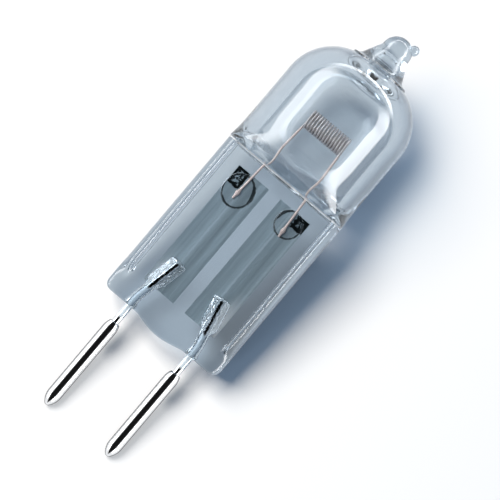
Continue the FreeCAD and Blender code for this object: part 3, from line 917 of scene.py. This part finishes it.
def foil_metal(name, creases, mark, dark_from, frame_width, pale):
    """Rolled molybdenum, with a black ring and a black glossy corner where the weld's heat
    kept the glass off it, both painted shade and dark reflection. The corner lies outwards of
    the leg and above dark_from, blackest within frame_width of its border. Creases are painted
    highlights, pale lines along the foil, and pale is how clearly its outer edge beside the lead
    wire shows a whitish wedge, a painted highlight."""
    wobble_width, crease_share, haze_full = 0.5, 0.3, 0.2
    mat, tree, body = metal(
        name, dark=(0.31, 0.375, 0.41), light=(0.53, 0.63, 0.685), rough=0.5, scale=1800.0, stretch=30,
        relief=0.3,
    )
    body.inputs["Metallic"].default_value = 0.5
    vector, x, z = lamp_place(tree)
    off_middle = unsigned(tree, x)
    wobble = times(tree, minus(tree, noise(tree, vector, WOBBLE_SCALE), 0.5), wobble_width)
    specks = noise(tree, vector, SPECK_SCALE, roughness=0.7)
    uneven_x = plus(tree, x, times(tree, wobble, crease_share))
    # Painted highlights: pale lines along the creases
    for crease in creases:
        off = unsigned(tree, minus(tree, uneven_x, crease))
        overlay(tree, body, times(tree, fade(tree, off, *CREASE_FALL), CREASE_COVER), CREASE_HIGHLIGHT)
    # Painted shade and dark reflection: a black ring round the weld's pocket and a black corner
    ring = weld_ring(tree, x, z, wobble, mark)
    corner = painted_dark_corner(tree, off_middle, z, wobble, specks, dark_from, frame_width)
    black = larger(tree, times(tree, ring, RING_COVER), corner)
    overlay(tree, body, black, FOIL_PAINTED_DARK)
    # Pale haze round the end of the lead wire, partly the crazed glass's whiteness and partly a
    # painted highlight, and the wedge beside it, a painted highlight
    far_x = from_middle(tree, off_middle, HAZE_MIDDLE[0], HAZE_REACH[0])
    far_z = from_middle(tree, z, HAZE_MIDDLE[1], HAZE_REACH[1])
    near_end = fade(tree, squares(tree, far_x, far_z), 1.0, haze_full)
    overlay(tree, body, times(tree, near_end, fade(tree, specks, *HAZY_SPECKS)), HAZE_AND_GLINT)
    beside = fade(tree, plus(tree, off_middle, wobble), *WEDGE_RISE_X)
    wedge = times(tree, beside, fade(tree, plus(tree, z, wobble), *WEDGE_FALL_Z))
    overlay(tree, body, times(tree, wedge, pale), HAZE_AND_GLINT)
    # The black is glossier
    rough = body.inputs["Roughness"].links[0].from_socket
    kept = minus(tree, 1.0, times(tree, black, BLACK_GLOSS))
    tree.links.new(times(tree, rough, kept), body.inputs["Roughness"])
    return mat


# The lamp
def dress(obj, mats, node):
    """Lays a piece down in the frame and hands it over with its materials."""
    obj.data.transform(LAMP)
    obj.matrix_world = Matrix.Identity(4)
    for mat in mats:
        obj.data.materials.append(mat)
    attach(obj, "root")
    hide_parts(node)


# The slant tints of the glass are painted shade: dark outlines at the edges and dark arcs at the hollow's
# floor
glass_mats = (
    quartz(
        "quartz", tint=(0.47, 0.55, 0.62), edge_shade_tint=(0.2, 0.26, 0.33), rim_from=0.6,
        shade=(0.80, 0.84, 0.88), steep=(0.10, 0.14, 0.20),
    ),
    quartz("quartz_inside", edge_shade_tint=(0.3, 0.35, 0.4), rim_from=0.58, foot=0.35),
    quartz("quartz_crazed", relief=1.0, grain=2600.0),
    quartz("quartz_milky_glint", relief=0.7, grain=2600.0, clear=0.5),
)
foil_mats = {
    -1: foil_metal(
        "molybdenum_foil_left", creases=(-2.25,), mark=WELD_MARKS[0],
        dark_from=12.6, frame_width=0.2, pale=0.3,
    ),
    1: foil_metal(
        "molybdenum_foil_right", creases=(2.0, 3.5), mark=WELD_MARKS[1],
        dark_from=13.05, frame_width=0.3, pale=0.95,
    ),
}
tungsten = filament_metal()
lead_mat = lead_metal()
pin_mat = pin_metal()

dress(build_glass(glass_mats), (), "glass_envelope")
dress(build_filament(), (tungsten,), "filament")
for side, word in ((-1, "left"), (1, "right")):
    foil = build_foil(f"foil_{word}_strip", side)
    # The left foil casts no shadow, and neither foil dims the bluish fill
    foil.visible_shadow = side > 0
    foil.visible_diffuse = False
    dress(foil, (foil_mats[side],), f"foil_{word}")
    dress(build_lead(f"lead_wire_{word}_rod", side), (lead_mat,), f"lead_wire_{word}")
    dress(build_pin(f"contact_pin_{word}_shank", side), (pin_mat,), f"contact_pin_{word}")


# Floor, light and camera, in metres
FLOOR_REACH = 1.2
PAPER = (0.93, 0.94, 0.96)
PAPER_SHOWN = 0.3
KEY_PLACE = (-0.02, 0.242, 0.362)
KEY_AIM = (0.0, 0.0, 0.004)
KEY_SIZE = (0.28, 0.24)
KEY_POWER = 2.5
KEY_COLOUR = (1.0, 0.95, 0.88)
FILL_COLOUR = (0.74, 1.03, 1.38)
FILL_STRENGTH = 0.19
STRIP_GLOW = 9.0
RIGHT_GLOW = 5.0
# Directions in the tent: angles over the horizon or from overhead in degrees, and shares of
# a direction along the lamp or across it, as rise or fall
OPENING_LEAN = (44, 36)
OPENING_UP = (16, 26)
OPENING_DARK = 0.99
PIN_SIDE = (-0.3, -0.7)
PIN_SIDE_DROP = 0.4
TIP_SIDE = (0.3, 0.5)
LOW_RISE = (1, 3)
LOW_FALL = (10, 8)
HIGH_RISE = (8, 12)
HIGH_FALL = (35, 32)
SIDE_STRIPS = (0.5, 0.85)
RIGHT_SIDE = (0.1, -0.1)
VIEW_TURN = math.radians(40.2)
VIEW_ROLL = math.radians(3.5)
VIEW_DISTANCE = 0.45
VIEW_TARGET = (1.33 * MM, 0.0, 9.6 * MM)
PICTURE_PIXELS = 500
PIXELS_PER_MM = 12.55
VIEW_WIDTH = PICTURE_PIXELS / PIXELS_PER_MM * MM
SENSOR = 36.0


def build_floor():
    """White paper. Glass and metal show part of it plain, in place of the shade on it."""
    mesh = bpy.data.meshes.new("floor")
    r = FLOOR_REACH
    mesh.from_pydata([(-r, -r, 0), (r, -r, 0), (r, r, 0), (-r, r, 0)], [], [(0, 1, 2, 3)])
    floor = bpy.data.objects.new("floor", mesh)
    bpy.context.scene.collection.objects.link(floor)
    mat, tree, body, out = nodes_of("floor_white")
    body.inputs["Base Color"].default_value = (*PAPER, 1)
    body.inputs["Roughness"].default_value = 1.0
    body.inputs["Specular IOR Level"].default_value = 0.0
    plain = add(tree, "ShaderNodeEmission", Strength=1.0)
    sharp = larger(tree, ray(tree, "Glossy"), ray(tree, "Transmission"))
    shade_by(tree, times(tree, sharp, PAPER_SHOWN), body, plain, out)
    mesh.materials.append(mat)


def heights(degrees):
    """The upward share of directions at angles over the horizon."""
    return [math.sin(math.radians(d)) for d in degrees]


def tent_strength(tree):
    """How bright the tent is by direction: a dark opening overhead, a bright strip on either
    side and a low one on the side of the tip."""
    where = add(tree, "ShaderNodeTexCoord")
    split = add(tree, "ShaderNodeSeparateXYZ")
    tree.links.new(where.outputs["Generated"], split.inputs[0])
    along, left, up = split.outputs
    across = unsigned(tree, left)
    # On the side of the pins the opening comes down to the floor
    reach = plus(tree, up, times(tree, fade(tree, along, *PIN_SIDE), PIN_SIDE_DROP))
    overhead = fade(tree, maths(tree, "ARCTAN2", across, up), *np.radians(OPENING_LEAN))
    opening = times(tree, overhead, fade(tree, reach, *heights(OPENING_UP)))
    tent = minus(tree, 1.0, times(tree, opening, OPENING_DARK))
    sides = fade(tree, across, *SIDE_STRIPS)
    tip_side = times(tree, fade(tree, along, *TIP_SIDE), minus(tree, 1.0, sides))
    low = times(tree, band(tree, up, heights(LOW_RISE), heights(LOW_FALL)), tip_side)
    high = times(tree, band(tree, up, heights(HIGH_RISE), heights(HIGH_FALL)), sides)
    # The right strip is the brighter one, but through the glass it is no brighter than the tent
    right = fade(tree, left, *RIGHT_SIDE)
    shown = minus(tree, 1.0, times(tree, ray(tree, "Transmission"), right))
    strips = times(tree, plus(tree, low, high), shown)
    glow = plus(tree, times(tree, right, RIGHT_GLOW), STRIP_GLOW)
    return plus(tree, times(tree, strips, glow), tent)


def build_world():
    """A white tent, as metal, glass and the camera see it. Matt surfaces take only a low
    bluish fill from it."""
    world = bpy.data.worlds.new("tent")
    bpy.context.scene.world = world
    world.use_nodes = True
    tree = world.node_tree
    seen = tree.nodes["Background"]
    seen.inputs["Color"].default_value = (*WHITE, 1)
    tree.links.new(tent_strength(tree), seen.inputs["Strength"])
    fill = add(tree, "ShaderNodeBackground", Strength=FILL_STRENGTH, Color=(*FILL_COLOUR, 1))
    straight = larger(tree, ray(tree, "Camera"), ray(tree, "Glossy"))
    sharp = larger(tree, straight, ray(tree, "Transmission"))
    shade_by(tree, sharp, fill, seen, tree.nodes["World Output"])


def build_key():
    """An oblong lamp over the left side, which glass and metal don't show."""
    light = bpy.data.lights.new("key", "AREA")
    light.shape = "RECTANGLE"
    light.size, light.size_y = KEY_SIZE
    light.energy = KEY_POWER
    light.color = KEY_COLOUR
    key = bpy.data.objects.new("key", light)
    bpy.context.scene.collection.objects.link(key)
    key.location = KEY_PLACE
    key.rotation_euler = (Vector(KEY_AIM) - Vector(KEY_PLACE)).to_track_quat("-Z", "Y").to_euler()
    key.visible_glossy = False
    key.visible_transmission = False


def build_camera():
    """Long lens over the seal's front face, turned so that the tip points up and right."""
    x_dir, y_dir, z_dir = (Vector(LAMP.col[i][:3]) for i in range(3))
    look = x_dir * math.sin(VIEW_ROLL) - y_dir * math.cos(VIEW_ROLL)
    right = x_dir * math.cos(VIEW_ROLL) + y_dir * math.sin(VIEW_ROLL)
    up = z_dir * math.cos(VIEW_TURN) - right * math.sin(VIEW_TURN)
    data = bpy.data.cameras.new("camera")
    data.sensor_width = SENSOR
    data.sensor_height = SENSOR
    data.sensor_fit = "AUTO"
    data.lens = SENSOR * VIEW_DISTANCE / VIEW_WIDTH
    data.clip_start = 0.01
    data.clip_end = 10.0
    cam = bpy.data.objects.new("camera", data)
    bpy.context.scene.collection.objects.link(cam)
    place = LAMP @ Vector(VIEW_TARGET) + look * VIEW_DISTANCE
    cam.matrix_world = Matrix.Translation(place) @ Matrix((up.cross(look), up, look)).transposed().to_4x4()
    bpy.context.scene.camera = cam


build_floor()
build_world()
build_key()
build_camera()
scene = bpy.context.scene
scene.view_settings.view_transform = "Standard"
scene.cycles.max_bounces = 24
scene.cycles.transmission_bounces = 24
scene.cycles.glossy_bounces = 12
scene.cycles.transparent_max_bounces = 24
scene.cycles.caustics_reflective = False
scene.cycles.caustics_refractive = False
scene.cycles.sample_clamp_indirect = 4.0
